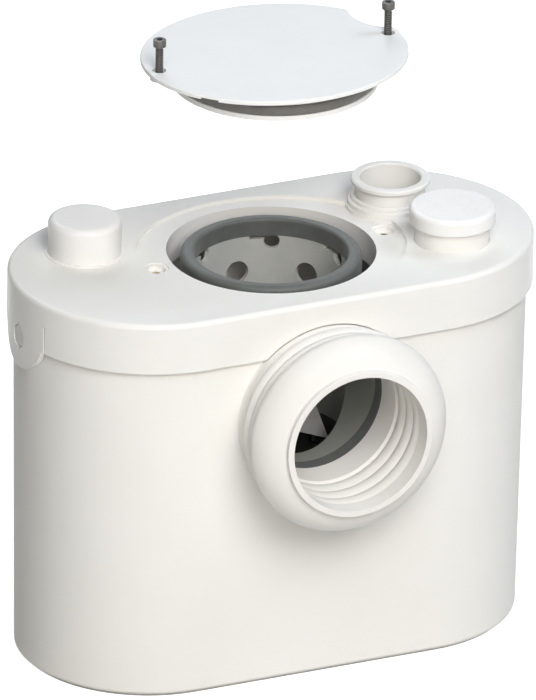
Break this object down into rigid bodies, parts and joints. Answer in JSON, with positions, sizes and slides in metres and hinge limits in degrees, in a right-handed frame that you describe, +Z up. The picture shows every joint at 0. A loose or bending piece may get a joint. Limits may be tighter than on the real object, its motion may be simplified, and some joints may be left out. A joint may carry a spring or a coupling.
{
  "type": "macerator toilet pump",
  "caption": "Free-standing macerator pump tank with front pan inlet sleeve, top discharge spigot, capped upper inlet and a lifted screw-down access hatch.",
  "frame": {"origin": "on the floor, under the middle of the tank, at the underside of the base mat", "axes": "+Z up, -Y forward out of the pan inlet, +X to the right when facing the inlet, along the longest side of the tank"},
  "size_m": [0.342, 0.242, 0.411],
  "materials": {
    "white_shell": "satin moulded",
    "white_gloss": "gloss moulded",
    "white_cover": "satin moulded",
    "white_cap": "gloss moulded",
    "white_rubber": "satin moulded",
    "dark_rubber": "matte moulded",
    "grey_rubber": "satin moulded",
    "light_grey_moulding": "satin moulded",
    "wet_grey_moulding": "satin moulded, wet",
    "dark_moulding": "satin moulded",
    "black_moulding": "satin moulded",
    "steel": "plain",
    "blade_steel": "brushed",
    "screw_steel": "dark zinc plated",
    "can_steel": "painted",
    "lamination_steel": "stacked sheet",
    "copper_wire": "enamelled wire",
    "bronze": "sintered bronze",
    "brass": "machined",
    "carbon_foam": "open foam",
    "switch_red": "moulded",
    "capacitor_white": "moulded",
    "terminal_cream": "moulded",
    "gland_grey": "moulded nylon"
  },
  "bodies": {
    "casing": {"base_mat": "dark_rubber", "tank": "white_shell", "lid": "white_gloss", "vent_dome": "white_gloss", "spigot_collar": "white_gloss", "upper_neck": "white_gloss", "lid_seal": "dark_rubber", "inlet_sleeve": "white_rubber", "port_gasket": "dark_rubber", "basket_chamber": "wet_grey_moulding", "basket_collar": "grey_rubber", "macerator_bowl": "dark_moulding", "bowl_screws": "steel", "pump_volute": "dark_moulding", "motor_can": "can_steel", "motor_cover": "can_steel", "motor_bolts": "steel", "motor_bearings": "bronze", "shaft_seals": "dark_rubber", "stator_core": "lamination_steel", "stator_windings": "copper_wire", "riser_hose": "dark_rubber", "hose_clips": "steel", "discharge_riser": "light_grey_moulding", "valve_body": "light_grey_moulding", "valve_pin": "steel", "discharge_spigot": "white_gloss", "upper_flap_pin": "steel", "screw_inserts": "brass", "pressure_tube": "light_grey_moulding", "pressure_membrane": "dark_rubber", "switch_housing": "light_grey_moulding", "microswitch": "black_moulding", "vent_filter": "carbon_foam", "electrics_box": "light_grey_moulding", "capacitor": "capacitor_white", "terminal_block": "terminal_cream", "cable_gland": "gland_grey"},
    "rotor": {"drive_shaft": "steel", "rotor_core": "lamination_steel", "impeller": "black_moulding", "macerator_blade": "blade_steel"},
    "hatch": {"hatch_cover": "white_cover", "hatch_ring": "grey_rubber"},
    "left_screw": {"hatch_screw_left": "screw_steel"},
    "right_screw": {"hatch_screw_right": "screw_steel"},
    "outlet_flap": {"discharge_flap": "dark_rubber"},
    "inlet_flap": {"upper_inlet_flap": "dark_rubber"},
    "upper_cap": {"inlet_cap": "white_cap", "inlet_cap_ring": "dark_rubber"},
    "plunger": {"membrane_plunger": "light_grey_moulding"},
    "lever": {"switch_lever": "steel"},
    "button": {"switch_button": "switch_red"}
  },
  "joints": [
    {"name": "hatch_lift", "type": "slide", "parent": "casing", "child": "hatch", "axis": [0, 0, 1], "range_m": [-0.132, 0]},
    {"name": "left_screw_travel", "type": "slide", "parent": "hatch", "child": "left_screw", "axis": [0, 0, 1], "range_m": [-0.021, 0]},
    {"name": "right_screw_travel", "type": "slide", "parent": "hatch", "child": "right_screw", "axis": [0, 0, 1], "range_m": [-0.021, 0]},
    {"name": "rotor_spin", "type": "hinge", "parent": "casing", "child": "rotor", "pos_m": [0, 0, 0.06], "axis": [0, 0, 1], "continuous": true},
    {"name": "outlet_flap_swing", "type": "hinge", "parent": "casing", "child": "outlet_flap", "pos_m": [0.0807, 0.034, 0.2174], "axis": [0, -1, 0], "range_deg": [0, 60]},
    {"name": "inlet_flap_swing", "type": "hinge", "parent": "casing", "child": "inlet_flap", "pos_m": [0.0818, -0.0314, 0.2337], "axis": [0, 1, 0], "range_deg": [0, 70], "stiffness_Nm_per_rad": 0.01, "springref_deg": -17.19},
    {"name": "upper_cap_lift", "type": "slide", "parent": "casing", "child": "upper_cap", "axis": [0, 0, 1], "range_m": [0, 0.03]},
    {"name": "plunger_travel", "type": "slide", "parent": "casing", "child": "plunger", "axis": [0, 0, 1], "range_m": [0, 0.002], "stiffness_N_per_m": 20, "springref_m": -0.002},
    {"name": "lever_swing", "type": "hinge", "parent": "casing", "child": "lever", "pos_m": [-0.0985, 0.035, 0.2325], "axis": [0, 1, 0], "range_deg": [0, 10]},
    {"name": "button_travel", "type": "slide", "parent": "casing", "child": "button", "axis": [0, 0, 1], "range_m": [0, 0.0012]}
  ],
  "couplings": [
    {"joint": "lever_swing", "follows": "plunger_travel", "rad_per_m": 80},
    {"joint": "button_travel", "follows": "plunger_travel", "ratio": 0.5}
  ]
}
